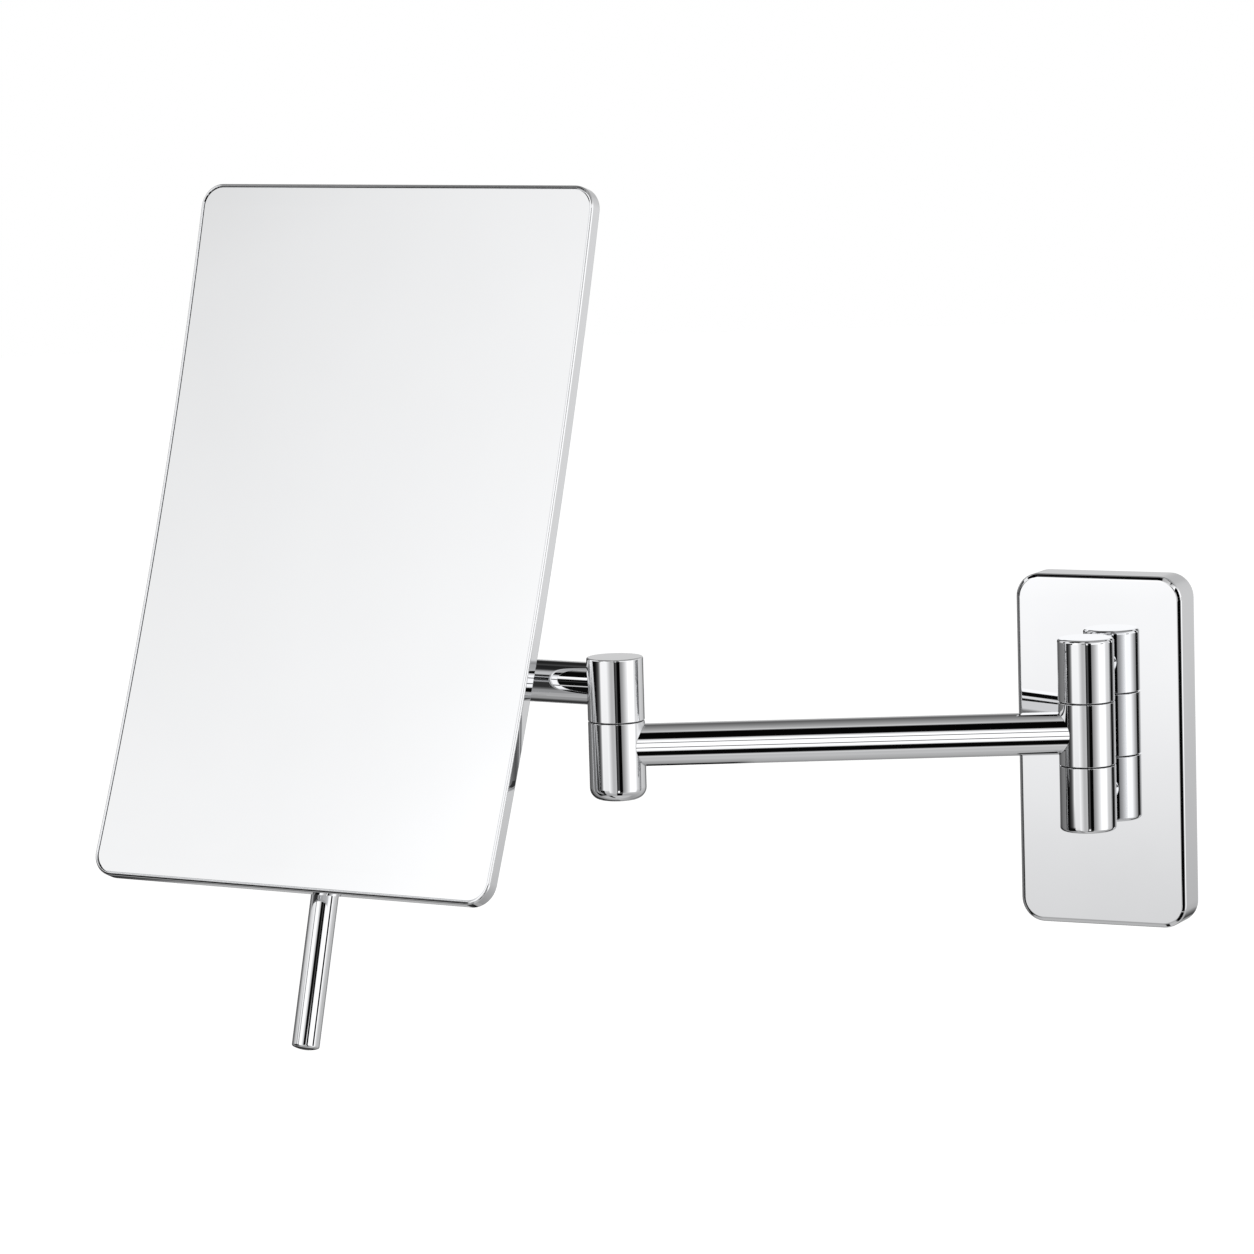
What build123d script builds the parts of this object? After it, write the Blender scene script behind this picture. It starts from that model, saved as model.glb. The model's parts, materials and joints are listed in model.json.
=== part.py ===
from build123d import *
from math import cos, sin
import os

# Extendable shaving mirror for a bathroom wall. Millimetres, +Z up.
# The origin is the centre of the wall plate's back, which lies on the wall.
# -Y points away from the wall, and +X is to the right of a person facing it.
# It is modelled with the arm swung out to the left and the mirror turned to face the room.

# ---- driving dimensions ---------------------------------------------------------------
COVER_WIDTH = 62.0
COVER_HEIGHT = 125.0
COVER_DEPTH = 13.5
COVER_CORNER = 8.5
COVER_EDGE = 2.0
COVER_SIDE = 2.0
COVER_FACE = 2.5

BRACKET_WIDTH = 40.0
BRACKET_STEEL = 2.5
BRACKET_LIP = 9.0
BRACKET_CLEAR = 0.7
SCREW_SPACING = 84.0
SCREW_HOLE_R = 2.6

BARREL_R = 10.0
KNUCKLE = 22.5
SEAM = 0.4
HINGE_STANDOFF = 13.0
HINGE_RISE = 8.5

TUBE_R = 7.5
TUBE_WALL = 1.2
ARM_LENGTH = 165.0
ARM_AZIMUTH = 205.0

ELBOW_SEAM_UP = 9.0
ELBOW_LOWER = 23.5
ELBOW_CAP = 4.4
ELBOW_CAP_ROUND = 4.2
HEAD_AZIMUTH = 174.0

TILT_UP = 21.5
MIRROR_REACH = 110.5
MIRROR_TILT = 21.0
HUB_R = 9.0
HUB_LENGTH = 44.0

MIRROR_WIDTH = 170.0
MIRROR_ABOVE = 175.0
MIRROR_BELOW = 85.0
MIRROR_RADIUS = 1750.0
MIRROR_OFFSET = 18.0
TRAY_DEPTH = 5.5
TRAY_WALL = 1.0
TRAY_FLOOR = 1.2
TRAY_CORNER = 8.5
GLASS_RECESS = 0.4
GLASS_THICK = 3.0
GLASS_GAP = 0.15

ROD_R = 5.0
ROD_REACH = 138.0
ROD_LEAN = 4.4

# ---- shared fits ------------------------------------------------------------------------
PIVOT_R = 4.0
THREAD_R = 3.0
RUNNING = 0.05
BUSH_R = 5.5
BUSH_FLANGE_R = 9.2
BUSH_FLANGE = 0.35
COUNTERBORE_R = 7.0
HEAD_R = 6.2
HEAD_THICK = 3.0
SOCKET_R = 2.9
SOCKET_FLOOR = 0.8
WASHER_THICK = 1.2
WASHER_PLAY = 0.15
THREAD_PROUD = 0.5
NUT_FLATS = 10.0
NUT_THICK = 4.5
CAP_DISC = 1.5
CAP_SPIGOT = 2.0
CAP_ROUND = 0.6
FOOT_CAP = 2.3
HINGE_CAP_ROUND = 1.4
CAP_RING = 1.4
COPE_GAP = 0.05
PLUG_LENGTH = 15.0
PLUG_START = BARREL_R + 0.2
STUD_START = BUSH_R + 0.4
STUD_SHORT = 3.0
STUD_LENGTH = PLUG_START - STUD_START + PLUG_LENGTH - STUD_SHORT

# ---- frames -----------------------------------------------------------------------------
PLATE = Plane(origin=(0, 0, 0), x_dir=(1, 0, 0), z_dir=(0, -1, 0)).location
HINGE = Pos(0, -(COVER_DEPTH + HINGE_STANDOFF), HINGE_RISE)
ARM = HINGE * Rot(0, 0, ARM_AZIMUTH)
ELBOW = HINGE * Rot(0, 0, ARM_AZIMUTH) * Pos(ARM_LENGTH, 0, 0)
HEAD = ELBOW * Rot(0, 0, HEAD_AZIMUTH - ARM_AZIMUTH)
MIRROR = HEAD * Pos(MIRROR_REACH, 0, TILT_UP) * Rot(MIRROR_TILT, 0, 0)


# ---- turned shapes ----------------------------------------------------------------------
def rod(radius, low, high):
    """A cylinder about Z from one height to another."""
    return Pos(0, 0, (low + high) / 2) * Cylinder(radius, high - low)


def ring(outer, inner, low, high):
    return rod(outer, low, high) - rod(inner, low - 1, high + 1)


def along_x(shape):
    """Turns a shape made about Z so that its +Z lies along +X."""
    return Rot(0, 90, 0) * shape


def cap(disc_r, spigot_r, high, disc=CAP_DISC, round_r=CAP_ROUND):
    """A turned cap whose disc ends at a height, with a hollow spigot under it."""
    base = high - disc
    face = rod(disc_r, base, high)
    face = fillet(face.edges().group_by(Axis.Z)[-1], round_r)
    return face + ring(spigot_r, spigot_r - CAP_RING, base - CAP_SPIGOT, base)


def flip(shape):
    """Turns a shape upside down about X."""
    return Rot(180, 0, 0) * shape


def shoulder_bolt(head_low, shank_high, thread_high):
    """A bolt whose head is at the bottom: socket head, plain shank, threaded end."""
    head_high = head_low + HEAD_THICK
    body = rod(HEAD_R, head_low, head_high) + rod(PIVOT_R, head_high, shank_high)
    body += rod(THREAD_R, shank_high, thread_high)
    socket = extrude(RegularPolygon(SOCKET_R, 6), HEAD_THICK - SOCKET_FLOOR)
    return body - Pos(0, 0, head_low) * socket


def wave_washer(low, high):
    """A spring washer, pressed flat as it is in use."""
    return ring(HEAD_R, THREAD_R + WASHER_PLAY, low, high)


def lock_nut(low):
    nut = extrude(RegularPolygon(NUT_FLATS / 2, 6, major_radius=False), NUT_THICK)
    return Pos(0, 0, low) * nut - rod(THREAD_R, low - 1, low + NUT_THICK + 1)


def flanged_bush(length, outer_r, flange_r):
    """A bush about Z: the flange stands above z = 0 and the sleeve hangs below it."""
    bush = rod(outer_r, -length, 0) + rod(flange_r, 0, BUSH_FLANGE)
    return bush - rod(PIVOT_R + RUNNING, -length - 1, BUSH_FLANGE + 1)


# ---- tubes that end on a barrel -----------------------------------------------------------
def coped_tube(start, end, cope_start, cope_end):
    """A tube along X whose ends are hollowed to sit on the upright barrels."""
    tube = along_x(ring(TUBE_R, TUBE_R - TUBE_WALL, start, end))
    tall = 2 * KNUCKLE
    if cope_start:
        tube -= Pos(start, 0, 0) * Cylinder(BARREL_R + COPE_GAP, tall)
    if cope_end:
        tube -= Pos(end, 0, 0) * Cylinder(BARREL_R + COPE_GAP, tall)
    return tube


def tube_plug():
    """A plug in a tube's end, from x = 0 inwards, threaded for its stud."""
    return along_x(ring(TUBE_R - TUBE_WALL, THREAD_R, 0, PLUG_LENGTH))


def tube_stud():
    """The stud that ties a plug to a barrel, from x = 0 in the barrel's wall."""
    return along_x(rod(THREAD_R, 0, STUD_LENGTH))


# ---- wall plate -----------------------------------------------------------------------------
KNUCKLE_RISES = (KNUCKLE, -KNUCKLE)
NECK_R = 5.0
NECK_SCREW_R = 2.5
NECK_SCREW_DEPTH = 5.8
NECK_WASHER = 1.0
NECK_HEAD = 3.0
NECK_HEAD_R = 4.25
GRUB_R = 2.0
GRUB_OUT = 5.5
NECK_HEAD_ROUND = 1.0
NECK_SLOT = (5.0, 1.0, 3.0)
WASHER_PROUD = 1.0
GRUB_INSET = 0.3
GRUB_KEY_R = 1.15
GRUB_KEY_DEPTH = 2.0
INNER_FACE = COVER_DEPTH - COVER_FACE


def wall_cover():
    outline = RectangleRounded(COVER_WIDTH, COVER_HEIGHT, COVER_CORNER)
    shell = extrude(outline, COVER_DEPTH)
    shell = fillet(shell.edges().group_by(Axis.Z)[-1], COVER_EDGE)
    inner_w = COVER_WIDTH - 2 * COVER_SIDE
    inner_h = COVER_HEIGHT - 2 * COVER_SIDE
    hollow = extrude(RectangleRounded(inner_w, inner_h, COVER_CORNER - COVER_SIDE), INNER_FACE)
    shell -= hollow
    for rise in KNUCKLE_RISES:
        shell -= Pos(0, HINGE_RISE + rise, 0) * rod(NECK_SCREW_R, 0, COVER_DEPTH + 1)
    return shell - grub_hole(GRUB_R)


def grub_hole(radius):
    """The sideways hole for the grub screw, through the bottom of the cover."""
    bottom = -COVER_HEIGHT / 2
    return Pos(0, bottom, GRUB_OUT) * Rot(-90, 0, 0) * rod(radius, -1, 6)


def wall_bracket():
    """A strip of steel with its two ends bent forward inside the cover."""
    half = COVER_HEIGHT / 2 - COVER_SIDE - BRACKET_CLEAR
    outer = Pos(0, 0, BRACKET_LIP / 2) * Box(BRACKET_WIDTH, 2 * half, BRACKET_LIP)
    inner_h = 2 * (half - BRACKET_STEEL)
    inner = Pos(0, 0, BRACKET_STEEL + BRACKET_LIP / 2) * Box(BRACKET_WIDTH + 2, inner_h, BRACKET_LIP)
    bends = outer.edges().filter_by(Axis.X).group_by(Axis.Z)[0]
    strip = fillet(bends, BRACKET_STEEL) - inner
    for side in (1, -1):
        strip -= Pos(0, side * SCREW_SPACING / 2, 0) * rod(SCREW_HOLE_R, -1, BRACKET_STEEL + 1)
    return strip - grub_hole(GRUB_R)


def grub_screw():
    """The headless screw that holds the cover on the bracket, from below."""
    reach = COVER_SIDE + BRACKET_CLEAR + BRACKET_STEEL
    screw = rod(GRUB_R, GRUB_INSET, reach)
    screw -= Pos(0, 0, GRUB_INSET) * extrude(RegularPolygon(GRUB_KEY_R, 6), GRUB_KEY_DEPTH)
    return Pos(0, -COVER_HEIGHT / 2, GRUB_OUT) * Rot(-90, 0, 0) * screw


def neck_washers():
    low = INNER_FACE - NECK_WASHER
    one = ring(NECK_HEAD_R + WASHER_PROUD, NECK_SCREW_R, low, INNER_FACE)
    return [Pos(0, HINGE_RISE + rise, 0) * one for rise in KNUCKLE_RISES]


def neck_screws():
    """The two screws that pull the fixed knuckles against the cover, from inside it."""
    seat = INNER_FACE - NECK_WASHER
    one = rod(NECK_HEAD_R, seat - NECK_HEAD, seat)
    one = fillet(one.edges().group_by(Axis.Z)[0], NECK_HEAD_ROUND)
    one += rod(NECK_SCREW_R, seat, COVER_DEPTH + NECK_SCREW_DEPTH)
    length, width, deep = NECK_SLOT
    slot = Pos(0, 0, seat - NECK_HEAD) * (Box(length, width, deep) + Box(width, length, deep))
    return [Pos(0, HINGE_RISE + rise, 0) * (one - slot) for rise in KNUCKLE_RISES]


def fixed_knuckle(low, high, rise):
    """A barrel section on a short neck, made about the wall hinge's axis."""
    barrel = rod(BARREL_R, low, high)
    neck = Rot(-90, 0, 0) * rod(NECK_R, 0, HINGE_STANDOFF)
    hole_start = HINGE_STANDOFF - NECK_SCREW_DEPTH
    neck_hole = Rot(-90, 0, 0) * rod(NECK_SCREW_R, hole_start, HINGE_STANDOFF)
    body = barrel + Pos(0, 0, rise) * neck
    return body - Pos(0, 0, rise) * neck_hole


KNUCKLE_HALF = (KNUCKLE - SEAM) / 2
BARREL_TOP = 1.5 * KNUCKLE
UPPER_END = BARREL_TOP - CAP_DISC
LOWER_END = -BARREL_TOP + CAP_DISC
UPPER_BORE = 6.25
LOWER_BORE = 8.25
UPPER_SEAT = UPPER_END - UPPER_BORE
LOWER_SEAT = LOWER_END + LOWER_BORE


def upper_knuckle():
    body = fixed_knuckle(KNUCKLE_HALF + SEAM, UPPER_END, KNUCKLE)
    body -= rod(PIVOT_R, 0, BARREL_TOP)
    return body - rod(COUNTERBORE_R, UPPER_SEAT, BARREL_TOP)


def lower_knuckle():
    body = fixed_knuckle(LOWER_END, -KNUCKLE_HALF - SEAM, -KNUCKLE)
    body -= rod(PIVOT_R, -BARREL_TOP, 0)
    return body - rod(COUNTERBORE_R, -BARREL_TOP, LOWER_SEAT)


def hinge_foot_cap():
    """A thicker cap than the top one, with a rounder edge."""
    high = -LOWER_END + FOOT_CAP
    return cap(BARREL_R, COUNTERBORE_R, high, FOOT_CAP, HINGE_CAP_ROUND)


def hinge_bolt():
    """Dropped in from the top, so its head is in the upper knuckle."""
    head = -(UPPER_SEAT + HEAD_THICK)
    nut_low = -LOWER_SEAT + WASHER_THICK
    return flip(shoulder_bolt(head, -LOWER_SEAT, nut_low + NUT_THICK + THREAD_PROUD))


def hinge_washer():
    return wave_washer(LOWER_SEAT - WASHER_THICK, LOWER_SEAT)


def hinge_nut():
    return lock_nut(LOWER_SEAT - WASHER_THICK - NUT_THICK)


# ---- arm ----------------------------------------------------------------------------------------
ELBOW_LOW = ELBOW_SEAM_UP - ELBOW_LOWER
ELBOW_BORE = 8.2
ELBOW_SEAT = ELBOW_LOW + ELBOW_BORE
LOWER_BUSH = 6.0
HINGE_BUSH = 9.5
ELBOW_BUSH = 8.0


def middle_knuckle():
    return ring(BARREL_R, BUSH_R, -KNUCKLE_HALF, KNUCKLE_HALF) - stud_hole()


def stud_hole():
    """The threaded hole in a barrel's wall for a tube's stud."""
    return along_x(rod(THREAD_R, 0, BARREL_R + 1))


def hinge_bush():
    return Pos(0, 0, KNUCKLE_HALF) * flanged_bush(HINGE_BUSH, BUSH_R, BUSH_FLANGE_R)


def elbow_lower_barrel():
    body = rod(BARREL_R, ELBOW_LOW, ELBOW_SEAM_UP - SEAM / 2)
    body -= rod(BUSH_R, ELBOW_SEAT, ELBOW_SEAM_UP)
    body -= rod(COUNTERBORE_R, ELBOW_LOW - 1, ELBOW_SEAT)
    return body - Rot(0, 0, 180) * stud_hole()


def elbow_upper_bush():
    return Pos(0, 0, ELBOW_SEAM_UP - SEAM / 2) * flanged_bush(ELBOW_BUSH, BUSH_R, BUSH_FLANGE_R)


def elbow_lower_bush():
    return ring(BUSH_R, PIVOT_R + RUNNING, ELBOW_SEAT, ELBOW_SEAT + LOWER_BUSH)


def elbow_cap():
    """The thick round-edged cap that closes the lower barrel from below."""
    high = -ELBOW_LOW + ELBOW_CAP
    return flip(cap(BARREL_R, COUNTERBORE_R, high, ELBOW_CAP, ELBOW_CAP_ROUND))


# ---- head: the upper half of the elbow and the tilt tube --------------------------------------------
HEAD_LOW = ELBOW_SEAM_UP + SEAM / 2
HEAD_HIGH = ELBOW_SEAM_UP + KNUCKLE
BOLT_SHANK_IN = 2.5
BOLT_THREAD_IN = 8.5
HEAD_STUD_START = 2.0
HUB_START = MIRROR_REACH - HUB_LENGTH / 2
HUB_END = MIRROR_REACH + HUB_LENGTH / 2
HUB_GAP = 0.5
HUB_BORE = 10.0
AXLE_INSET = 1.0
TILT_TUBE_END = HUB_START - HUB_GAP
AXLE_START = TILT_TUBE_END - PLUG_LENGTH + AXLE_INSET
HUB_SEAT = HUB_END - HUB_BORE


def elbow_upper_barrel():
    body = rod(BARREL_R, HEAD_LOW, HEAD_HIGH)
    body = fillet(body.edges().group_by(Axis.Z)[-1], CAP_ROUND)
    body -= rod(PIVOT_R, 0, HEAD_LOW + BOLT_SHANK_IN)
    body -= rod(THREAD_R, 0, HEAD_LOW + BOLT_THREAD_IN)
    return body - Pos(HEAD_STUD_START, 0, TILT_UP) * along_x(rod(THREAD_R, 0, BARREL_R))


def elbow_bolt():
    """Its head pulls up on the lower barrel, and its thread is fast in the upper one."""
    head_low = ELBOW_SEAT - WASHER_THICK - HEAD_THICK
    return shoulder_bolt(head_low, HEAD_LOW + BOLT_SHANK_IN, HEAD_LOW + BOLT_THREAD_IN)


def elbow_washer():
    low = ELBOW_SEAT - WASHER_THICK
    return ring(HEAD_R, PIVOT_R + WASHER_PLAY, low, ELBOW_SEAT - RUNNING)


def tilt_tube():
    return Pos(0, 0, TILT_UP) * coped_tube(0, TILT_TUBE_END, True, False)


def tilt_root_stud():
    length = PLUG_START - HEAD_STUD_START + PLUG_LENGTH - STUD_SHORT
    return Pos(HEAD_STUD_START, 0, TILT_UP) * along_x(rod(THREAD_R, 0, length))


def tilt_end_plug():
    start = TILT_TUBE_END - PLUG_LENGTH
    plug = ring(TUBE_R - TUBE_WALL, PIVOT_R, start, TILT_TUBE_END)
    return Pos(0, 0, TILT_UP) * along_x(plug)


def tilt_axle():
    """Fast in the tilt tube, and the hub turns on it."""
    nut_high = HUB_SEAT + WASHER_THICK + NUT_THICK
    axle = rod(PIVOT_R, AXLE_START, HUB_SEAT) + rod(THREAD_R, HUB_SEAT, nut_high + THREAD_PROUD)
    return Pos(0, 0, TILT_UP) * along_x(axle)


def tilt_washer():
    washer = wave_washer(HUB_SEAT + RUNNING, HUB_SEAT + WASHER_THICK)
    return Pos(0, 0, TILT_UP) * along_x(washer)


def tilt_nut():
    return Pos(0, 0, TILT_UP) * along_x(lock_nut(HUB_SEAT + WASHER_THICK))


# ---- mirror: made about the tilt axis, +Y out of its front, +Z up its middle --------------------------
HUB_BUSH_R = 6.0
HUB_BUSH = 10.0
HUB_FOOT_HEIGHT = 40.0
HUB_FOOT = 3.5
HUB_WEB = 13.0
HUB_WEB_ROUND = 2.0
HUB_SCREW_R = 2.0
HUB_SCREW_HEAD_R = 3.4
HUB_SCREW_X = 17.0
HUB_SCREW_Z = 15.0
ROD_SEAT = 7.4
ROD_STUD_R = 2.5
ROD_STUD_START = 4.9
ROD_STUD_END = 20.0
PAD_WIDTH = 28.0
PAD_SPACING = 100.0
PAD_INSET = 16.0
OUTER_BUSH = 8.0
HUB_CAP_R = 7.25
HUB_FLANGE_R = HUB_R - 0.8
HUB_FOOT_CORNER = 4.0
HUB_BORE_PLAY = 0.3
HUB_SCREW_KEY_R = 1.3
HUB_SCREW_KEY = 1.5
HUB_SCREW_SHORT = 0.5
TRAY_BACK_ROUND = 0.8
ROD_END_ROUND = 3.0


def curved_slab(near, far, half_width, inset, corner):
    """A slab between two depths behind the mirror's front, bent about a level axis."""
    centre = (MIRROR_OFFSET + MIRROR_RADIUS, 0)
    top = (MIRROR_ABOVE - inset) / MIRROR_RADIUS
    bottom = -(MIRROR_BELOW - inset) / MIRROR_RADIUS

    def point(depth, angle):
        reach = MIRROR_RADIUS + depth
        return (centre[0] - reach * cos(angle), reach * sin(angle))

    middle = (top + bottom) / 2
    front = ThreePointArc(point(near, bottom), point(near, middle), point(near, top))
    back = ThreePointArc(point(far, top), point(far, middle), point(far, bottom))
    outline = [front, Line(front @ 1, back @ 0), back, Line(back @ 1, front @ 0)]
    section = Plane.YZ * make_face(outline)
    slab = extrude(section, half_width, both=True)
    if corner:
        slab = fillet(corner_edges(slab, half_width), corner)
    return slab


def corner_edges(slab, half_width):
    """The four short edges that run through the slab at its corners."""
    short = slab.edges().sort_by(SortBy.LENGTH)[:4]
    assert all(abs(abs(edge.center().X) - half_width) < 0.01 for edge in short)
    return short


def mirror_tray():
    half = MIRROR_WIDTH / 2
    tray = curved_slab(0, TRAY_DEPTH, half, 0, TRAY_CORNER)
    pocket_floor = TRAY_DEPTH - TRAY_FLOOR
    back_edges = tray.faces().sort_by(Axis.Y)[0].edges()
    tray = fillet(back_edges, TRAY_BACK_ROUND)
    tray -= curved_slab(-1, pocket_floor, half - TRAY_WALL, TRAY_WALL, TRAY_CORNER - TRAY_WALL)
    return tray - hub_screw_shapes(0.0)


def mirror_glass():
    inset = TRAY_WALL + GLASS_GAP
    return curved_slab(GLASS_RECESS, GLASS_RECESS + GLASS_THICK, MIRROR_WIDTH / 2 - inset, inset,
                       TRAY_CORNER - inset)


def foam_pads():
    """Two upright strips that hold the glass in the tray."""
    near = GLASS_RECESS + GLASS_THICK
    strip = curved_slab(near, TRAY_DEPTH - TRAY_FLOOR, PAD_WIDTH / 2, PAD_INSET, 0)
    return [Pos(side * PAD_SPACING / 2, 0, 0) * strip for side in (1, -1)]


def hub_screw_shapes(recess):
    """Four countersunk screws from the tray's floor into the hub's foot, with a key recess."""
    floor = MIRROR_OFFSET - TRAY_DEPTH + TRAY_FLOOR
    head = Pos(0, 0, TRAY_FLOOR / 2) * Cone(HUB_SCREW_HEAD_R, HUB_SCREW_R, TRAY_FLOOR)
    shank = rod(HUB_SCREW_R, TRAY_FLOOR, TRAY_FLOOR + HUB_FOOT - HUB_SCREW_SHORT)
    screw = head + shank
    if recess:
        screw -= extrude(RegularPolygon(HUB_SCREW_KEY_R, 6), recess)
    turned = Rot(90, 0, 0) * screw
    places = [(x, z) for x in (HUB_SCREW_X, -HUB_SCREW_X) for z in (HUB_SCREW_Z, -HUB_SCREW_Z)]
    return [Pos(x, floor, z) * turned for x, z in places]


def hub_screws():
    return hub_screw_shapes(HUB_SCREW_KEY)


def rod_place():
    """The handle's frame: +Z runs down and slightly back from the tilt axis."""
    return Rot(180 - ROD_LEAN, 0, 0)


def tilt_hub():
    half = HUB_LENGTH / 2
    barrel = along_x(rod(HUB_R, -half, half))
    foot_y = MIRROR_OFFSET - TRAY_DEPTH
    foot = Pos(0, foot_y - HUB_FOOT / 2, 0) * Box(HUB_LENGTH, HUB_FOOT, HUB_FOOT_HEIGHT)
    foot = fillet(foot.edges().filter_by(Axis.Y), HUB_FOOT_CORNER)
    web = Pos(0, foot_y / 2, 0) * Box(HUB_LENGTH, foot_y - 1.0, HUB_WEB)
    body = barrel + web + foot
    corners = [edge for edge in body.edges().filter_by(Axis.X)
               if abs(edge.center().Y - foot_y + HUB_FOOT) < 0.01 and abs(edge.center().Z) < HUB_WEB]
    body = fillet(corners, HUB_WEB_ROUND)
    body -= curved_slab(-1, TRAY_DEPTH, HUB_LENGTH, 0, 0)
    body -= along_x(rod(PIVOT_R + HUB_BORE_PLAY, -half - 1, half + 1))
    seat = HUB_SEAT - MIRROR_REACH
    body -= along_x(rod(HUB_BUSH_R, -half - 1, -half + HUB_BUSH))
    body -= along_x(rod(HUB_BUSH_R, seat - OUTER_BUSH, seat + 1))
    body -= along_x(rod(HUB_CAP_R, seat, half + 1))
    body -= rod_place() * rod(ROD_R, ROD_SEAT, 2 * HUB_R)
    body -= rod_place() * rod(ROD_STUD_R, ROD_STUD_START, 2 * HUB_R)
    return body - hub_screw_shapes(0.0)


def hub_inner_bush():
    bush = Rot(0, -90, 0) * flanged_bush(HUB_BUSH, HUB_BUSH_R, HUB_FLANGE_R)
    return Pos(-HUB_LENGTH / 2, 0, 0) * bush


def hub_outer_bush():
    seat = HUB_SEAT - MIRROR_REACH
    return along_x(ring(HUB_BUSH_R, PIVOT_R + RUNNING, seat - OUTER_BUSH, seat))


def hub_cap():
    return along_x(cap(HUB_R, HUB_CAP_R, HUB_LENGTH / 2 + CAP_DISC))


def handle_rod():
    body = rod(ROD_R, ROD_SEAT, ROD_REACH)
    body = fillet(body.edges().group_by(Axis.Z)[-1], ROD_END_ROUND)
    return rod_place() * (body - rod(ROD_STUD_R, 0, ROD_STUD_END))


def handle_stud():
    return rod_place() * rod(ROD_STUD_R, ROD_STUD_START, ROD_STUD_END)


# ---- what goes where --------------------------------------------------------------------------------
def tube_end(place):
    return place * Pos(PLUG_START, 0, 0) * tube_plug(), place * Pos(STUD_START, 0, 0) * tube_stud()


def build():
    """Every sub-part in the row's frame, by name."""
    far_end = ELBOW * Rot(0, 0, 180)
    wall_plug, wall_stud = tube_end(ARM)
    elbow_plug, elbow_stud = tube_end(far_end)
    return {
        "wall_cover": PLATE * wall_cover(),
        "wall_bracket": PLATE * wall_bracket(),
        "cover_grub_screw": PLATE * grub_screw(),
        "neck_washers": [PLATE * piece for piece in neck_washers()],
        "neck_screws": [PLATE * piece for piece in neck_screws()],
        "upper_knuckle": HINGE * upper_knuckle(),
        "lower_knuckle": HINGE * lower_knuckle(),
        "hinge_bolt": HINGE * hinge_bolt(),
        "hinge_spring_washer": HINGE * hinge_washer(),
        "hinge_lock_nut": HINGE * hinge_nut(),
        "hinge_top_cap": HINGE * cap(BARREL_R, COUNTERBORE_R, BARREL_TOP, round_r=HINGE_CAP_ROUND),
        "hinge_bottom_cap": HINGE * flip(hinge_foot_cap()),
        "middle_knuckle": ARM * middle_knuckle(),
        "hinge_upper_bush": ARM * hinge_bush(),
        "hinge_lower_bush": ARM * flip(hinge_bush()),
        "arm_tube": ARM * coped_tube(0, ARM_LENGTH, True, True),
        "arm_wall_plug": wall_plug,
        "arm_wall_stud": wall_stud,
        "arm_elbow_plug": elbow_plug,
        "arm_elbow_stud": elbow_stud,
        "elbow_lower_barrel": ELBOW * elbow_lower_barrel(),
        "elbow_upper_bush": ELBOW * elbow_upper_bush(),
        "elbow_lower_bush": ELBOW * elbow_lower_bush(),
        "elbow_bottom_cap": ELBOW * elbow_cap(),
        "elbow_upper_barrel": HEAD * elbow_upper_barrel(),
        "elbow_bolt": HEAD * elbow_bolt(),
        "elbow_spring_washer": HEAD * elbow_washer(),
        "tilt_tube": HEAD * tilt_tube(),
        "tilt_root_plug": HEAD * Pos(PLUG_START, 0, TILT_UP) * tube_plug(),
        "tilt_root_stud": HEAD * tilt_root_stud(),
        "tilt_end_plug": HEAD * tilt_end_plug(),
        "tilt_axle": HEAD * tilt_axle(),
        "tilt_spring_washer": HEAD * tilt_washer(),
        "tilt_lock_nut": HEAD * tilt_nut(),
        "tilt_hub": MIRROR * tilt_hub(),
        "hub_inner_bush": MIRROR * hub_inner_bush(),
        "hub_outer_bush": MIRROR * hub_outer_bush(),
        "hub_end_cap": MIRROR * hub_cap(),
        "hub_screws": [MIRROR * piece for piece in hub_screws()],
        "mirror_tray": MIRROR * mirror_tray(),
        "foam_pads": [MIRROR * piece for piece in foam_pads()],
        "mirror_glass": MIRROR * mirror_glass(),
        "handle_rod": MIRROR * handle_rod(),
        "handle_stud": MIRROR * handle_stud(),
    }


os.makedirs("parts", exist_ok=True)
for name, shape in build().items():
    piece = Compound(children=list(shape)) if isinstance(shape, list) else shape
    export_step(piece, f"parts/{name}.step")
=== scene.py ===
import json
from math import cos, pi, radians, sin, sqrt

import bmesh
import bpy
from mathutils import Matrix, Vector

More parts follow.
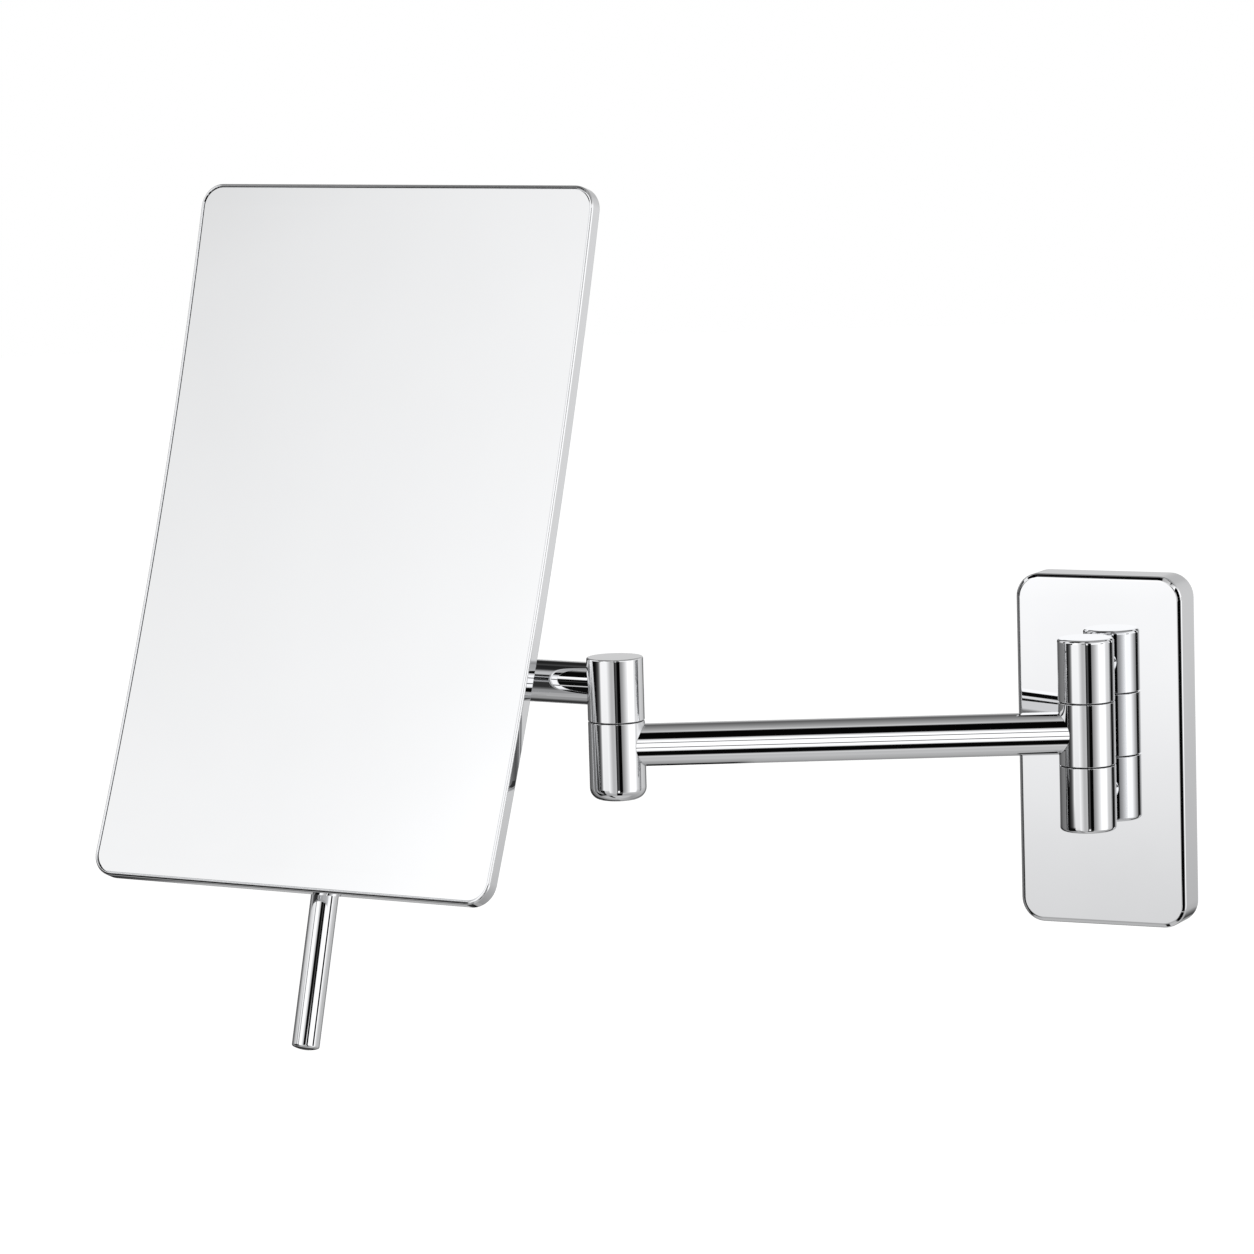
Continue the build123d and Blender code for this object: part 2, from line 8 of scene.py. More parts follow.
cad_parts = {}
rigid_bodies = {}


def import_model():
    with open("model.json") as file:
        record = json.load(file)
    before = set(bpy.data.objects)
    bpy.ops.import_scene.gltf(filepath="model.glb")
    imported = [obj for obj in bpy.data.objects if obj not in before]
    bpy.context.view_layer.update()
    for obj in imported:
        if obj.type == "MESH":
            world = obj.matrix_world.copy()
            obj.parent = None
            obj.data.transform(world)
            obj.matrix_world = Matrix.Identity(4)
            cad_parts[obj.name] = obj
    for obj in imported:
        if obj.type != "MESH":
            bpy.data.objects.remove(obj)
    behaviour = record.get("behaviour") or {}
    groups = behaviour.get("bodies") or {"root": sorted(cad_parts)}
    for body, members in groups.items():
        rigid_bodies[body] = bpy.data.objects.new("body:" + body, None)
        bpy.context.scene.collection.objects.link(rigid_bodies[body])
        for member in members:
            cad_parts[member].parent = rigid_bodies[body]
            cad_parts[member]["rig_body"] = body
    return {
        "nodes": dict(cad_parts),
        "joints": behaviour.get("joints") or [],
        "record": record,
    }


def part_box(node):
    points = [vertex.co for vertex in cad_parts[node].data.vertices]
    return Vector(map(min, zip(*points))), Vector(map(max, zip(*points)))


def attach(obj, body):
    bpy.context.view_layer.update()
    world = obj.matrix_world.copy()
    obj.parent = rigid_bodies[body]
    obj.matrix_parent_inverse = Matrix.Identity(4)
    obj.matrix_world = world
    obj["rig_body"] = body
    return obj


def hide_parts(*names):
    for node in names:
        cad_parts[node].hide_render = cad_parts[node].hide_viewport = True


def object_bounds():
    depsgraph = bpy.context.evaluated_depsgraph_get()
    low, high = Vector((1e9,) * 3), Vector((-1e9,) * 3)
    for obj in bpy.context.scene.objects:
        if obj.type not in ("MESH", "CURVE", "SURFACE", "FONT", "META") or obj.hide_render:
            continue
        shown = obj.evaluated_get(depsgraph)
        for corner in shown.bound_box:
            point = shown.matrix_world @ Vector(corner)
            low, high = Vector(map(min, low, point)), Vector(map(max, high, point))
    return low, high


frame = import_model()
CAD_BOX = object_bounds()
NODES = frame["nodes"]
RECORD = frame["record"]
MM = 0.001

# ---- sizes that the frame's boxes don't give, in millimetres and degrees -----------------------
# wall cover, with the hole for its grub screw
COVER_CORNER = 8.5
COVER_WALL = 2.0
COVER_FACE = 2.5
COVER_BACK_BREAK = 0.3
BEVEL = 1.7
BEVEL_SLOPE = 29.0
EDGE_ROUND = 0.9
FACE_ROUND = 1.2
GRUB_R = 2.05
GRUB_OUT = 5.5
GRUB_CUT_OUT = 5.0
GRUB_CUT_IN = 2.0

# wall hinge
BARREL_R = 10.0
KNUCKLE = 22.5
SEAM = 0.4
EDGE_BREAK = 0.22
NECK_R = 5.0
NECK_SEAT = 3.0
COUNTERBORE_R = 7.0
CAP_DISC = 1.5
CAP_SPIGOT = 2.0
CAP_EDGE = 0.6
FOOT_CAP = 2.3
HINGE_CAP_ROUND = 1.4

# arm and tilt tubes
TUBE_R = 7.5
TUBE_WALL = 1.2
TUBE_END_ROW = 0.5
TUBE_END_BREAK = 0.15
TUBE_CLEAR = 3.0
TUBE_SPANS = 8
COPE_GAP = 0.05

# elbow
ELBOW_SEAM_UP = 9.0
ELBOW_LOWER = 23.5
ELBOW_CAP = 4.4
ELBOW_CAP_ROUND = 4.2
ELBOW_TOP_ROUND = 0.6

# mirror, measured from the tilt axis, and its hub
MIRROR_TILT = 21.0
MIRROR_ABOVE = 175.0
MIRROR_BELOW = 85.0
MIRROR_HALF = 85.0
MIRROR_RADIUS = 1750.0
MIRROR_OFFSET = 18.0
TRAY_DEPTH = 5.5
TRAY_WALL = 1.0
TRAY_FLOOR = 1.2
TRAY_CORNER = 8.5
TRAY_CORNER_LEAST = 0.3
TRAY_BACK_ROUND = 0.8
RIM_ROUND = 0.9
RIM_INNER_ROUND = 0.08
GLASS_RECESS = 0.4
GLASS_THICK = 3.0
GLASS_GAP = 0.15
GLASS_ARRIS = 0.35
HUB_R = 9.0
HUB_LENGTH = 44.0
HUB_CAP_R = 7.25
HUB_GAP = 0.5

# handle rod
ROD_R = 5.0
ROD_SEAT = 7.4
ROD_REACH = 138.0
ROD_END_ROUND = 0.9
ROD_DOME = 1.1
ROD_LEAN = 4.4

# ---- how finely the meshes are divided, and where their shading breaks ---------------------------
ROUND_STEPS = 128
NECK_STEPS = 64
GRUB_STEPS = 48
ARC_STEPS = 6
CAP_ARC_STEPS = 12
PLATE_CORNER_STEPS = 12
DOME_STEPS = 5
MIRROR_CORNER_ROWS = 12
MIRROR_MIDDLE_ROWS = 56
RIM_STEPS = 10
RIM_INNER_STEPS = 3
SHARP_ANGLE = 32.0
CAD_SHARP_ANGLE = 28.0
FACE_WEIGHT = 60
ON_AXIS = 1e-6

# ---- frames, from the record's joints ----------------------------------------------------------
JOINTS = {joint["name"]: joint for joint in frame["joints"]}
HINGE_AT = Vector(JOINTS["wall_swing"]["pos_m"])
ELBOW_AT = Vector(JOINTS["elbow_swing"]["pos_m"])
TILT_AT = Vector(JOINTS["mirror_tilt"]["pos_m"])
TILT_AXIS = Vector(JOINTS["mirror_tilt"]["axis"]).normalized()


def level_frame(origin, along):
    """Millimetres to metres: +X level along a direction, +Z up."""
    x = Vector((along.x, along.y, 0)).normalized()
    y = Vector((0, 0, 1)).cross(x)
    turn = Matrix((x, y, (0, 0, 1))).transposed().to_4x4()
    return Matrix.Translation(origin) @ turn @ Matrix.Scale(MM, 4)


ARM = level_frame(HINGE_AT, ELBOW_AT - HINGE_AT)
ARM_LENGTH = (ELBOW_AT - HINGE_AT).length / MM
ELBOW = level_frame(ELBOW_AT, ELBOW_AT - HINGE_AT)
HEAD = level_frame(ELBOW_AT, TILT_AXIS)
TILT_UP = (TILT_AT.z - ELBOW_AT.z) / MM
MIRROR = level_frame(TILT_AT, TILT_AXIS) @ Matrix.Rotation(radians(MIRROR_TILT), 4, "X")
HINGE = level_frame(HINGE_AT, Vector((1, 0, 0)))
PLATE = Matrix.Rotation(radians(90), 4, "X") @ Matrix.Scale(MM, 4)
ALONG_X = Matrix.Rotation(radians(90), 4, "Y")
UPSIDE_DOWN = Matrix.Rotation(radians(180), 4, "X")


# ---- mesh makers -------------------------------------------------------------------------------
def add_object(name, data):
    """A new object in the scene."""
    thing = bpy.data.objects.new(name, data)
    bpy.context.scene.collection.objects.link(thing)
    return thing


def make_piece(name, points, faces, place):
    """A smooth-shaded mesh whose flats stay flat, with its place in its vertices."""
    mesh = bpy.data.meshes.new(name)
    mesh.from_pydata([place @ Vector(point) for point in points], [], faces)
    mesh.validate()
    work = bmesh.new()
    work.from_mesh(mesh)
    bmesh.ops.recalc_face_normals(work, faces=work.faces[:])
    work.to_mesh(mesh)
    work.free()
    piece = add_object(name, mesh)
    even_normals(piece)
    return piece


def even_normals(piece, sharp=SHARP_ANGLE):
    """Smooth shading broken at sharp edges, with normals weighted by face area."""
    piece.data.shade_smooth()
    piece.data.set_sharp_from_angle(angle=radians(sharp))
    weigh = piece.modifiers.new("flat_faces", "WEIGHTED_NORMAL")
    weigh.keep_sharp = True
    weigh.weight = FACE_WEIGHT


def band(low, high):
    """Four-sided faces between two closed rows of vertex numbers."""
    count = len(low)
    return [(low[k], low[(k + 1) % count], high[(k + 1) % count], high[k]) for k in range(count)]


def numbered_rows(amount, count):
    """The vertex numbers of an amount of rows of count points each."""
    return [range(i * count, (i + 1) * count) for i in range(amount)]


def rounded(corners, steps=ARC_STEPS):
    """An outline through (r, z, radius) corners, each turned by an arc of its radius."""
    path = []
    for i, (x, y, radius) in enumerate(corners):
        here = Vector((x, y))
        if not radius or i in (0, len(corners) - 1):
            path.append(here)
            continue
        before = (Vector(corners[i - 1][:2]) - here).normalized()
        after = (Vector(corners[i + 1][:2]) - here).normalized()
        half = before.angle(after) / 2
        reach = radius / sin(half) * cos(half)
        start, end = here + before * reach, here + after * reach
        centre = here + (before + after).normalized() * (radius / sin(half))
        sweep = (start - centre).angle_signed(end - centre)
        for k in range(steps + 1):
            turn = Matrix.Rotation(-sweep * k / steps, 2)
            path.append(centre + turn @ (start - centre))
    return path


def turned(name, outline, place, steps=ROUND_STEPS):
    """A shape turned about Z from an outline of (r, z) points that starts and ends on the axis."""
    points, faces, rows = [], [], []
    for r, z in outline:
        if r < ON_AXIS:
            rows.append([len(points)])
            points.append((0, 0, z))
            continue
        rows.append(list(range(len(points), len(points) + steps)))
        points += [(r * cos(2 * pi * k / steps), r * sin(2 * pi * k / steps), z) for k in range(steps)]
    for low, high in zip(rows, rows[1:]):
        if len(low) == 1:
            faces += [(low[0], high[(k + 1) % steps], high[k]) for k in range(steps)]
        elif len(high) == 1:
            faces += [(low[k], low[(k + 1) % steps], high[0]) for k in range(steps)]
        else:
            faces += band(low, high)
    return make_piece(name, points, faces, place)


def drum(low, high, radius, break_low=EDGE_BREAK, break_high=EDGE_BREAK):
    """The outline of a solid drum with its two edges broken."""
    return rounded([(0, low, 0), (radius, low, break_low), (radius, high, break_high), (0, high, 0)])


def join(name, *pieces):
    """Several pieces as one."""
    whole = bmesh.new()
    for piece in pieces:
        whole.from_mesh(piece.data)
    mesh = bpy.data.meshes.new(name)
    whole.to_mesh(mesh)
    whole.free()
    for piece in pieces:
        bpy.data.objects.remove(piece)
    joined = add_object(name, mesh)
    even_normals(joined)
    return joined


def cope(y):
    """How far from its axis a barrel's surface is, at a distance to one side."""
    reach = BARREL_R + COPE_GAP
    return sqrt(reach * reach - y * y)


def coped_tube(name, length, far_cope, place):
    """An open tube along X that sits on a barrel at its start, and at its end if far_cope."""
    points, rows = [], []
    inner = TUBE_R - TUBE_WALL
    middle = length - 2 * (BARREL_R + TUBE_CLEAR)

    def row(radius, x_at):
        rows.append(range(len(points), len(points) + ROUND_STEPS))
        for k in range(ROUND_STEPS):
            y, z = radius * cos(2 * pi * k / ROUND_STEPS), radius * sin(2 * pi * k / ROUND_STEPS)
            points.append((x_at(y), y, z))

    def near(y):
        return cope(y)

    def far(y):
        return length - (cope(y) if far_cope else 0)

    row(TUBE_R, near)
    row(TUBE_R, lambda y: near(y) + TUBE_END_ROW)
    for k in range(1, TUBE_SPANS):
        row(TUBE_R, lambda y: BARREL_R + TUBE_CLEAR + middle * k / TUBE_SPANS)
    row(TUBE_R, lambda y: far(y) - TUBE_END_ROW)
    row(TUBE_R - (0 if far_cope else TUBE_END_BREAK), far)
    row(inner, far)
    row(inner, near)
    faces = [face for low, high in zip(rows, rows[1:] + rows[:1]) for face in band(low, high)]
    return make_piece(name, points, faces, place)


def rounded_rectangle(half_w, half_h, corner):
    """Points round a rounded rectangle about the origin."""
    points = []
    for cx, cy, start in ((1, 1, 0), (-1, 1, 90), (-1, -1, 180), (1, -1, 270)):
        for k in range(PLATE_CORNER_STEPS + 1):
            a = radians(start + 90 * k / PLATE_CORNER_STEPS)
            points.append((cx * (half_w - corner) + corner * cos(a),
                           cy * (half_h - corner) + corner * sin(a)))
    return points


def loft(name, rings, place):
    """A closed shell through rings of points, its two ends filled."""
    points = [point for ring in rings for point in ring]
    rows = numbered_rows(len(rings), len(rings[0]))
    faces = [face for low, high in zip(rows, rows[1:]) for face in band(low, high)]
    faces += [tuple(reversed(rows[0])), tuple(rows[-1])]
    return make_piece(name, points, faces, place)


def cut(piece, name, cutter):
    """The piece less the cutter, which is used up."""
    hole = piece.modifiers.new("hole", "BOOLEAN")
    hole.solver = "EXACT"
    hole.object = cutter
    piece.modifiers.remove(piece.modifiers["flat_faces"])
    graph = bpy.context.evaluated_depsgraph_get()
    mesh = bpy.data.meshes.new_from_object(piece.evaluated_get(graph))
    mesh.name = name
    for used in (piece, cutter):
        bpy.data.objects.remove(used)
    result = add_object(name, mesh)
    even_normals(result)
    return result


# ---- wall plate ----------------------------------------------------------------------------------
def wall_cover():
    """The hollow cover: up its inside, over its back edge, up its outside and over its bevel."""
    low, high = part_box("wall_cover")
    half_w = (high.x - low.x) / 2 / MM
    half_h = (high.z - low.z) / 2 / MM
    depth = (high.y - low.y) / MM
    bevel_in = BEVEL * cos(radians(BEVEL_SLOPE))
    bevel_down = BEVEL * sin(radians(BEVEL_SLOPE))
    side_start = (0, depth / 2, 0)
    face_end = (half_w / 2, depth, 0)
    edge = rounded([side_start, (0, depth - bevel_down, EDGE_ROUND), (bevel_in, depth, FACE_ROUND), face_end])
    sections = [(COVER_WALL, depth - COVER_FACE), (COVER_WALL, COVER_BACK_BREAK),
                (COVER_WALL - COVER_BACK_BREAK, 0), (COVER_BACK_BREAK, 0), (0, COVER_BACK_BREAK), *edge[1:-1]]
    rings = []
    for inset, z in sections:
        outline = rounded_rectangle(half_w - inset, half_h - inset, COVER_CORNER - inset)
        rings.append([(x, y, z) for x, y in outline])
    shell = loft("shell", rings, PLATE)
    hole_place = PLATE @ Matrix.Translation((0, -half_h, GRUB_OUT)) @ Matrix.Rotation(radians(90), 4, "X")
    hole = turned("hole", drum(-GRUB_CUT_OUT, GRUB_CUT_IN, GRUB_R, 0, 0), hole_place, GRUB_STEPS)
    return cut(shell, "wall_cover_shell", hole)


def knuckle_with_neck(name, low, high, rise):
    """A fixed barrel section and the neck that carries it."""
    breaks = (EDGE_BREAK, 0) if rise > 0 else (0, EDGE_BREAK)
    barrel = turned("barrel", drum(low, high, BARREL_R, *breaks), HINGE)
    standoff = -HINGE_AT.y / MM - (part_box("wall_cover")[1].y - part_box("wall_cover")[0].y) / MM
    neck_place = HINGE @ Matrix.Translation((0, 0, rise)) @ Matrix.Rotation(radians(-90), 4, "X")
    neck = turned("neck", drum(NECK_SEAT, standoff, NECK_R, 0, 0), neck_place, NECK_STEPS)
    return join(name, barrel, neck)


def cap(name, place, radius, spigot, high, disc=CAP_DISC, edge=CAP_EDGE):
    """A barrel's cap: a disc with a rounded edge, and under it a spigot that sits in the barrel."""
    base = high - disc
    outline = rounded([(0, base - CAP_SPIGOT, 0), (spigot, base - CAP_SPIGOT, 0), (spigot, base, 0),
                       (radius, base, 0), (radius, high, edge), (0, high, 0)], CAP_ARC_STEPS)
    return turned(name, outline, place)


# ---- mirror --------------------------------------------------------------------------------------
def bent(u, s, depth):
    """A point of the mirror: across, up along its curve, and behind its front."""
    angle = s / MIRROR_RADIUS
    reach = MIRROR_RADIUS + depth
    return (u, MIRROR_OFFSET + MIRROR_RADIUS - reach * cos(angle), reach * sin(angle))


def mirror_rows(inset, depth):
    """Level rows of a rounded rectangle on the curve, from its bottom to its top, as (left, right)."""
    corner = max(TRAY_CORNER - inset, TRAY_CORNER_LEAST)
    half = MIRROR_HALF - inset
    low, high = -(MIRROR_BELOW - inset), MIRROR_ABOVE - inset
    ends = []
    for k in range(MIRROR_CORNER_ROWS + 1):
        a = pi / 2 * k / MIRROR_CORNER_ROWS
        ends.append((low + corner * (1 - cos(a)), half - corner * (1 - sin(a))))
    for k in range(1, MIRROR_MIDDLE_ROWS):
        ends.append((low + corner + (high - low - 2 * corner) * k / MIRROR_MIDDLE_ROWS, half))
    for k in range(MIRROR_CORNER_ROWS + 1):
        a = pi / 2 * (1 - k / MIRROR_CORNER_ROWS)
        ends.append((high - corner * (1 - cos(a)), half - corner * (1 - sin(a))))
    return [(bent(-u, s, depth), bent(u, s, depth)) for s, u in ends]


def curved_shell(name, levels):
    """A closed shell through (inset, depth) levels, its first and last closed by level strips."""
    points = []
    for inset, depth in levels:
        ends = mirror_rows(inset, depth)
        points += [right for left, right in ends] + [left for left, right in reversed(ends)]
    half_count = len(ends)
    rows = numbered_rows(len(levels), 2 * half_count)
    faces = [face for low, high in zip(rows, rows[1:]) for face in band(low, high)]
    for row in (rows[0], rows[-1]):
        faces += [(row[k], row[k + 1], row[-2 - k], row[-1 - k]) for k in range(half_count - 1)]
    return make_piece(name, points, faces, MIRROR)


def edge_arc(inset, depth, radius, out, steps):
    """Levels round a rim's front edge: out is +1 for the outer edge and -1 for the inner one."""
    arc = []
    for k in range(steps + 1):
        a = pi / 2 * k / steps
        arc.append((inset + out * radius * (1 - cos(a)), depth + radius * (1 - sin(a))))
    return arc


def mirror_tray():
    """The tray, from its pocket's floor over its thin rim to its back."""
    levels = [(TRAY_WALL, TRAY_DEPTH - TRAY_FLOOR)]
    levels += edge_arc(TRAY_WALL, 0, RIM_INNER_ROUND, -1, RIM_INNER_STEPS)
    levels += reversed(edge_arc(0, 0, RIM_ROUND, 1, RIM_STEPS))
    for k in range(ARC_STEPS + 1):
        a = pi / 2 * k / ARC_STEPS
        levels.append((TRAY_BACK_ROUND * (1 - cos(a)), TRAY_DEPTH - TRAY_BACK_ROUND * (1 - sin(a))))
    return curved_shell("mirror_tray_shell", levels)


def mirror_glass():
    """The glass in the tray's pocket, with its edges broken."""
    inset = TRAY_WALL + GLASS_GAP
    near = GLASS_RECESS
    far = GLASS_RECESS + GLASS_THICK
    levels = [(inset + GLASS_ARRIS, near), (inset, near + GLASS_ARRIS), (inset, far - GLASS_ARRIS),
              (inset + GLASS_ARRIS, far)]
    return curved_shell("mirror_glass_pane", levels)


def handle_rod():
    """The rod, with a slight dome on its free end."""
    parts = [k / DOME_STEPS for k in range(DOME_STEPS - 1, -1, -1)]
    dome = [(ROD_R * part, ROD_REACH - ROD_DOME * part ** 2, 0) for part in parts]
    outline = rounded([(0, ROD_SEAT, 0), (ROD_R, ROD_SEAT, 0), (ROD_R, ROD_REACH - ROD_DOME, ROD_END_ROUND),
                       *dome])
    return turned("handle_rod_skin", outline, MIRROR @ Matrix.Rotation(radians(180 - ROD_LEAN), 4, "X"))


# ---- materials -----------------------------------------------------------------------------------
BROAD_SCALE, BROAD_DETAIL = 28, 3
FINE_DETAIL = 6
COAT_ROUGHNESS = 0.02
NOISE_LOW, NOISE_HIGH = 0.3, 0.7
TINT_LOW, TINT_HIGH = 0.35, 0.65


def noise(tree, vector, scale, detail):
    """A noise texture's value over a vector socket."""
    texture = tree.nodes.new("ShaderNodeTexNoise")
    texture.inputs["Scale"].default_value = scale
    texture.inputs["Detail"].default_value = detail
    tree.links.new(vector, texture.inputs["Vector"])
    return texture.outputs["Fac"]


def finish_material(name, color, metallic, roughness, grain, bump, stretch=(1, 1, 1), tint=0.0, coat=0.0):
    """A finish with uneven roughness, a little tonal drift and a fine bump, whose height is in metres."""
    material = bpy.data.materials.new(name)
    material.use_nodes = True
    tree = material.node_tree
    shader = tree.nodes["Principled BSDF"]
    shader.inputs["Metallic"].default_value = metallic
    if coat:
        shader.inputs["Coat Weight"].default_value = coat
        shader.inputs["Coat Roughness"].default_value = COAT_ROUGHNESS
    place = tree.nodes.new("ShaderNodeTexCoord")
    spread = tree.nodes.new("ShaderNodeMapping")
    spread.inputs["Scale"].default_value = stretch
    tree.links.new(place.outputs["Object"], spread.inputs["Vector"])
    fine = noise(tree, spread.outputs["Vector"], grain, FINE_DETAIL)
    broad = noise(tree, place.outputs["Object"], BROAD_SCALE, BROAD_DETAIL)

    mixed = tree.nodes.new("ShaderNodeMix")
    mixed.inputs["Factor"].default_value = 0.5
    tree.links.new(fine, mixed.inputs["A"])
    tree.links.new(broad, mixed.inputs["B"])
    rough = tree.nodes.new("ShaderNodeMapRange")
    rough.inputs["From Min"].default_value = NOISE_LOW
    rough.inputs["From Max"].default_value = NOISE_HIGH
    rough.inputs["To Min"].default_value = roughness[0]
    rough.inputs["To Max"].default_value = roughness[1]
    tree.links.new(mixed.outputs["Result"], rough.inputs["Value"])
    tree.links.new(rough.outputs["Result"], shader.inputs["Roughness"])

    drift = tree.nodes.new("ShaderNodeValToRGB")
    drift.color_ramp.elements[0].position = TINT_LOW
    drift.color_ramp.elements[0].color = (*[c * (1 - tint) for c in color], 1)
    drift.color_ramp.elements[1].position = TINT_HIGH
    drift.color_ramp.elements[1].color = (*color, 1)
    tree.links.new(broad, drift.inputs["Fac"])
    tree.links.new(drift.outputs["Color"], shader.inputs["Base Color"])

    relief = tree.nodes.new("ShaderNodeBump")
    relief.inputs["Strength"].default_value = 1.0
    relief.inputs["Distance"].default_value = bump
    tree.links.new(fine, relief.inputs["Height"])
    tree.links.new(relief.outputs["Normal"], shader.inputs["Normal"])
    return material


FINISHES = {
    "polished_chrome": finish_material(
        "polished_chrome", (0.91, 0.915, 0.925), 1.0, (0.006, 0.022), 60, 6e-7, tint=0.02),
    "silvered_glass": finish_material(
        "silvered_glass", (0.885, 0.89, 0.895), 1.0, (0.0, 0.02), 12, 6e-7, tint=0.008, coat=1.0),
    "plated_steel": finish_material(
        "plated_steel", (0.60, 0.61, 0.60), 1.0, (0.22, 0.42), 900, 2e-5, tint=0.12),
    "spring_steel": finish_material(
        "spring_steel", (0.34, 0.35, 0.38), 1.0, (0.25, 0.4), 700, 1e-5, tint=0.1),
    "plug_brass": finish_material(
        "plug_brass", (0.78, 0.60, 0.32), 1.0, (0.18, 0.34), 500, 1e-5, stretch=(1, 1, 8), tint=0.08),
    "dark_nylon": finish_material(
        "dark_nylon", (0.035, 0.035, 0.038), 0.0, (0.4, 0.6), 1500, 3e-5, tint=0.2),
    "foam_tape": finish_material(
        "foam_tape", (0.07, 0.07, 0.072), 0.0, (0.8, 0.95), 1800, 2e-4, tint=0.3),
}
SLOTS = {row["node"]: row["material_slot"] for row in RECORD["subparts"]}


def show(piece, node, *more):
    """A piece that stands for CAD nodes, rides on the first one's body, and has its finish."""
    name = SLOTS[node]
    piece.data.materials.clear()
    piece.data.materials.append(FINISHES[name])
    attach(piece, NODES[node]["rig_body"])
    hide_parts(node, *more)


# ---- the pieces ----------------------------------------------------------------------------------
BARREL_TOP = 1.5 * KNUCKLE
KNUCKLE_HALF = (KNUCKLE - SEAM) / 2
FOOT_END = BARREL_TOP - CAP_DISC + FOOT_CAP
ELBOW_LOW = ELBOW_SEAM_UP - ELBOW_LOWER
TILT_END = (TILT_AT - Vector((ELBOW_AT.x, ELBOW_AT.y, TILT_AT.z))).length / MM - HUB_LENGTH / 2 - HUB_GAP

show(wall_cover(), "wall_cover")
show(knuckle_with_neck("upper_knuckle_skin", KNUCKLE_HALF + SEAM, BARREL_TOP - CAP_DISC, KNUCKLE),
     "upper_knuckle")
show(knuckle_with_neck("lower_knuckle_skin", -BARREL_TOP + CAP_DISC, -KNUCKLE_HALF - SEAM, -KNUCKLE),
     "lower_knuckle")
show(cap("hinge_top_cap_skin", HINGE, BARREL_R, COUNTERBORE_R, BARREL_TOP, edge=HINGE_CAP_ROUND),
     "hinge_top_cap")
show(cap("hinge_bottom_cap_skin", HINGE @ UPSIDE_DOWN, BARREL_R, COUNTERBORE_R, FOOT_END, FOOT_CAP,
         HINGE_CAP_ROUND), "hinge_bottom_cap")
show(turned("middle_knuckle_skin", drum(-KNUCKLE_HALF, KNUCKLE_HALF, BARREL_R), ARM), "middle_knuckle")
show(coped_tube("arm_tube_skin", ARM_LENGTH, True, ARM), "arm_tube")

show(turned("elbow_lower_skin", drum(ELBOW_LOW, ELBOW_SEAM_UP - SEAM / 2, BARREL_R, break_low=0), ELBOW),
     "elbow_lower_barrel")
show(cap("elbow_bottom_cap_skin", ELBOW @ UPSIDE_DOWN, BARREL_R, COUNTERBORE_R, ELBOW_CAP - ELBOW_LOW,
         ELBOW_CAP, ELBOW_CAP_ROUND), "elbow_bottom_cap")
show(turned("elbow_upper_skin", drum(ELBOW_SEAM_UP + SEAM / 2, ELBOW_SEAM_UP + KNUCKLE, BARREL_R,
                                     break_high=ELBOW_TOP_ROUND), HEAD), "elbow_upper_barrel")
show(coped_tube("tilt_tube_skin", TILT_END, False, HEAD @ Matrix.Translation((0, 0, TILT_UP))), "tilt_tube")

show(mirror_tray(), "mirror_tray")
show(mirror_glass(), "mirror_glass")
show(handle_rod(), "handle_rod")
show(cap("hub_end_cap_skin", MIRROR @ ALONG_X, HUB_R, HUB_CAP_R, HUB_LENGTH / 2 + CAP_DISC), "hub_end_cap")

for name, node in NODES.items():
    if node.hide_render:
        continue
    slot_name = SLOTS[name]
    node.data.materials.clear()
    node.data.materials.append(FINISHES[slot_name])
    even_normals(node, CAD_SHARP_ANGLE)


# ---- the photo's camera: place in metres, turns in radians, lens and sensor in millimetres ---------
CAMERA_AT = Vector((0.692197, -1.861515, 0.310069))
CAMERA_YAW = 0.442562
CAMERA_PITCH = -0.132028
CAMERA_ROLL = -0.028627
CAMERA_LENS = 161.6983
CAMERA_SENSOR = 36.0


# ---- light tent: pale walls with dark gaps, all round the object ----------------------------------
# A column of the tent is a list of (elevation, tone) rows at one azimuth. Angles are in degrees as seen from
# the object, azimuth 0 is towards the photo's camera, and tones are 0 to 255 as they show in the picture.
# The panels and gaps were set until what the chrome and the glass reflect looked like the photo.
# Its radius is in metres.
TENT_R = 8.0
TENT_ACROSS = 960
TENT_UP = 360
CHROME_SHOWS = 0.90
WHITEST, WHITE_FROM, WHITE_BOOST = 255, 247, 0.12
BLUE_CAST = 1.004

BELOW = [(-90, 188), (-80, 188), (-67, 184), (-60, 211), (-55, 165), (-51.5, 30), (-50, 5), (-30, 5),
         (-27, 190)]
TOP = [(75.5, 113), (80.5, 216), (85, 175), (90, 168)]
ABOVE = [(29, 250), (36.5, 190), (39.5, 5), (73, 5)] + TOP
PALE_BELOW = [(-90, 188), (-60, 185), (-45, 160), (-27, 190)]
PALE_ABOVE = [(29, 250), (45, 185), (60, 165), (80, 190), (90, 168)]
PLATE_BELOW = [(-90, 188), (-78, 180), (-75, 10), (-57, 10), (-52, 130), (-42, 165)]
EDGE_BELOW = [(-90, 182), (-80, 205), (-75, 190), (-66, 150), (-46, 150)]
DARK_ABOVE = [(31, 235), (32.5, 8), (73, 8)] + TOP
WHITE_ABOVE = [(40, 252), (44, 250), (47, 8), (73, 8)] + TOP
TOP_BEHIND = [(70, 132), (90, 168)]
BEHIND_ABOVE = [(8, 200), (20, 180), (43, 90)] + TOP_BEHIND
BEHIND = [(-90, 182), (-60, 165), (-43, 145), (-20, 150), (0, 185)] + BEHIND_ABOVE
BEHIND_LOW_DARK = [(-90, 182), (-62, 150), (-54, 120), (-50, 14), (-1, 14), (2, 190)] + BEHIND_ABOVE
LEFT_BEHIND = [(-90, 182), (-62, 135), (-55, 110), (-50, 50), (-13, 50)]
SIDE_BELOW = [(-90, 182), (-60, 150)]
SPLIT_GAP = [(-90, 182), (-60, 178), (-47, 160), (-41, 12)]
DARK_GAP = SPLIT_GAP + [(4, 12), (7, 190), (10, 220)]
